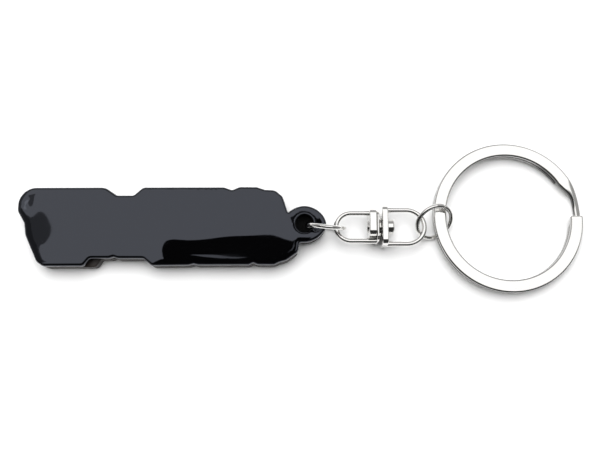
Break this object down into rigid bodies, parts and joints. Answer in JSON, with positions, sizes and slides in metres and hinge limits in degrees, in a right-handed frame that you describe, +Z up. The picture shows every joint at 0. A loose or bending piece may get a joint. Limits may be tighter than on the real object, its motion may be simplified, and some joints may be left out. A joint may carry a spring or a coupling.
{
  "type": "keychain",
  "caption": "Souvenir keychain: glossy back plate and relief front on a jump ring, riveted swivel and flat split ring.",
  "frame": {"origin": "middle of the object's footprint, on the surface that it lies on", "axes": "+X along the object from the pendant to the split ring, +Z up out of the pendant's glossy back"},
  "size_m": [0.1119, 0.03, 0.008],
  "materials": {
    "black_gloss": "glossy black lacquered back",
    "brown_moulding": "satin dark brown moulding",
    "bright_plate": "bright nickel plate on steel"
  },
  "bodies": {
    "pendant": {"pendant_back_plate": "black_gloss", "pendant_front_relief": "brown_moulding"},
    "pendant_ring": {"pendant_jump_ring": "bright_plate"},
    "swivel_body": {"swivel_pendant_loop": "bright_plate", "swivel_rivet": "bright_plate"},
    "swivel_eye": {"swivel_key_loop": "bright_plate"},
    "key_side_ring": {"key_jump_ring": "bright_plate"},
    "key_ring": {"split_ring": "bright_plate"}
  },
  "joints": [
    {"name": "pendant_ring_slide_round", "type": "hinge", "parent": "pendant", "child": "pendant_ring", "pos_m": [0.0047, -0.00219, 0.004], "axis": [-0.1025, -0.9749, -0.1977], "range_deg": [-40, 120]},
    {"name": "swivel_yaw", "type": "hinge", "parent": "pendant_ring", "child": "swivel_body", "pos_m": [0.00821, -0.00236, 0.003], "axis": [0, 0, 1], "range_deg": [-45, 45]},
    {"name": "swivel_spin", "type": "hinge", "parent": "swivel_body", "child": "swivel_eye", "pos_m": [0.01614, -0.00213, 0.003], "axis": [1, 0, 0], "continuous": true},
    {"name": "key_ring_flip", "type": "hinge", "parent": "swivel_eye", "child": "key_side_ring", "pos_m": [0.0241, -0.00213, 0.003], "axis": [0, -1, 0], "range_deg": [-30, 60]},
    {"name": "split_ring_spin", "type": "hinge", "parent": "key_side_ring", "child": "key_ring", "pos_m": [0.04092, 0, 0.00075], "axis": [0.05, 0, 0.9987], "continuous": true}
  ]
}
